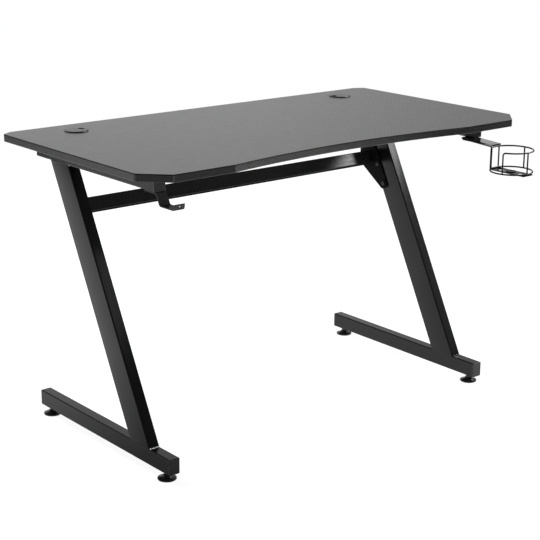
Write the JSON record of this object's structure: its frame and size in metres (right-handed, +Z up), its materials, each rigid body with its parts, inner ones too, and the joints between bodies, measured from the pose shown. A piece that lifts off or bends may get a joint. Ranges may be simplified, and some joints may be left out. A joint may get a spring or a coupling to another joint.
{
  "type": "gaming desk",
  "caption": "Gaming desk with a waisted twill-pattern board on Z-shaped steel legs, with levelling feet, cable grommets, a headphone hook and a wire cup holder.",
  "frame": {"origin": "on the floor under the middle of the desk's box, which reaches from the front of the cup holder to the rear edge of the board", "axes": "+X to the user's right, +Y to the rear, +Z up"},
  "size_m": [1.2, 0.736, 0.7428],
  "materials": {
    "laminate_board": "black twill-pattern film on fibreboard, satin",
    "powder_coated_steel": "black powder coat, satin",
    "black_fasteners": "black coated steel",
    "zinc_steel": "zinc plated",
    "black_plastic": "moulded, fine grain",
    "pad_rubber": "matt"
  },
  "bodies": {
    "frame": {"desktop": "laminate_board", "crossbeam": "powder_coated_steel", "rail_left": "powder_coated_steel", "upright_left": "powder_coated_steel", "base_left": "powder_coated_steel", "gusset_left": "powder_coated_steel", "grommet_sleeve_left": "black_plastic", "rail_cap_left_front": "black_plastic", "base_cap_left_front": "black_plastic", "foot_nut_left_front": "zinc_steel", "rail_cap_left_rear": "black_plastic", "base_cap_left_rear": "black_plastic", "foot_nut_left_rear": "zinc_steel", "rail_right": "powder_coated_steel", "upright_right": "powder_coated_steel", "base_right": "powder_coated_steel", "gusset_right": "powder_coated_steel", "grommet_sleeve_right": "black_plastic", "rail_cap_right_front": "black_plastic", "base_cap_right_front": "black_plastic", "foot_nut_right_front": "zinc_steel", "rail_cap_right_rear": "black_plastic", "base_cap_right_rear": "black_plastic", "foot_nut_right_rear": "zinc_steel", "gusset_bolts": "black_fasteners", "gusset_nuts": "zinc_steel", "desktop_bolts": "black_fasteners", "desktop_inserts": "zinc_steel", "headphone_hook": "powder_coated_steel", "hook_screws": "black_fasteners", "cup_arm": "powder_coated_steel", "cup_rods": "powder_coated_steel", "cup_top_ring": "powder_coated_steel", "cup_bottom_ring": "powder_coated_steel", "cup_posts": "powder_coated_steel", "cup_strap": "powder_coated_steel", "cup_pad": "pad_rubber", "cup_screws": "black_fasteners"},
    "foot_left_front_pad": {"foot_pad_left_front": "black_plastic"},
    "foot_left_front_stud": {"foot_stud_left_front": "black_fasteners"},
    "foot_left_rear_pad": {"foot_pad_left_rear": "black_plastic"},
    "foot_left_rear_stud": {"foot_stud_left_rear": "black_fasteners"},
    "foot_right_front_pad": {"foot_pad_right_front": "black_plastic"},
    "foot_right_front_stud": {"foot_stud_right_front": "black_fasteners"},
    "foot_right_rear_pad": {"foot_pad_right_rear": "black_plastic"},
    "foot_right_rear_stud": {"foot_stud_right_rear": "black_fasteners"},
    "grommet_cap_left": {"grommet_cap_left": "black_plastic"},
    "grommet_cap_right": {"grommet_cap_right": "black_plastic"}
  },
  "joints": [
    {"name": "foot_left_front_height", "type": "slide", "parent": "frame", "child": "foot_left_front_pad", "axis": [0, 0, -1], "range_m": [0, 0.012]},
    {"name": "foot_left_front_turn", "type": "hinge", "parent": "foot_left_front_pad", "child": "foot_left_front_stud", "pos_m": [-0.512, -0.19, 0.016], "axis": [0, 0, -1], "range_deg": [-360, 3816]},
    {"name": "foot_left_rear_height", "type": "slide", "parent": "frame", "child": "foot_left_rear_pad", "axis": [0, 0, -1], "range_m": [0, 0.012]},
    {"name": "foot_left_rear_turn", "type": "hinge", "parent": "foot_left_rear_pad", "child": "foot_left_rear_stud", "pos_m": [-0.512, 0.32, 0.016], "axis": [0, 0, -1], "range_deg": [-360, 3816]},
    {"name": "foot_right_front_height", "type": "slide", "parent": "frame", "child": "foot_right_front_pad", "axis": [0, 0, -1], "range_m": [0, 0.012]},
    {"name": "foot_right_front_turn", "type": "hinge", "parent": "foot_right_front_pad", "child": "foot_right_front_stud", "pos_m": [0.512, -0.19, 0.016], "axis": [0, 0, -1], "range_deg": [-360, 3816]},
    {"name": "foot_right_rear_height", "type": "slide", "parent": "frame", "child": "foot_right_rear_pad", "axis": [0, 0, -1], "range_m": [0, 0.012]},
    {"name": "foot_right_rear_turn", "type": "hinge", "parent": "foot_right_rear_pad", "child": "foot_right_rear_stud", "pos_m": [0.512, 0.32, 0.016], "axis": [0, 0, -1], "range_deg": [-360, 3816]},
    {"name": "grommet_cap_left_turn", "type": "hinge", "parent": "frame", "child": "grommet_cap_left", "pos_m": [-0.437, 0.281, 0.74], "axis": [0, 0, 1], "continuous": true},
    {"name": "grommet_cap_right_turn", "type": "hinge", "parent": "frame", "child": "grommet_cap_right", "pos_m": [0.437, 0.281, 0.74], "axis": [0, 0, 1], "continuous": true}
  ],
  "couplings": [
    {"joint": "foot_left_front_turn", "follows": "foot_left_front_height", "rad_per_m": 5026.5},
    {"joint": "foot_left_rear_turn", "follows": "foot_left_rear_height", "rad_per_m": 5026.5},
    {"joint": "foot_right_front_turn", "follows": "foot_right_front_height", "rad_per_m": 5026.5},
    {"joint": "foot_right_rear_turn", "follows": "foot_right_rear_height", "rad_per_m": 5026.5}
  ]
}
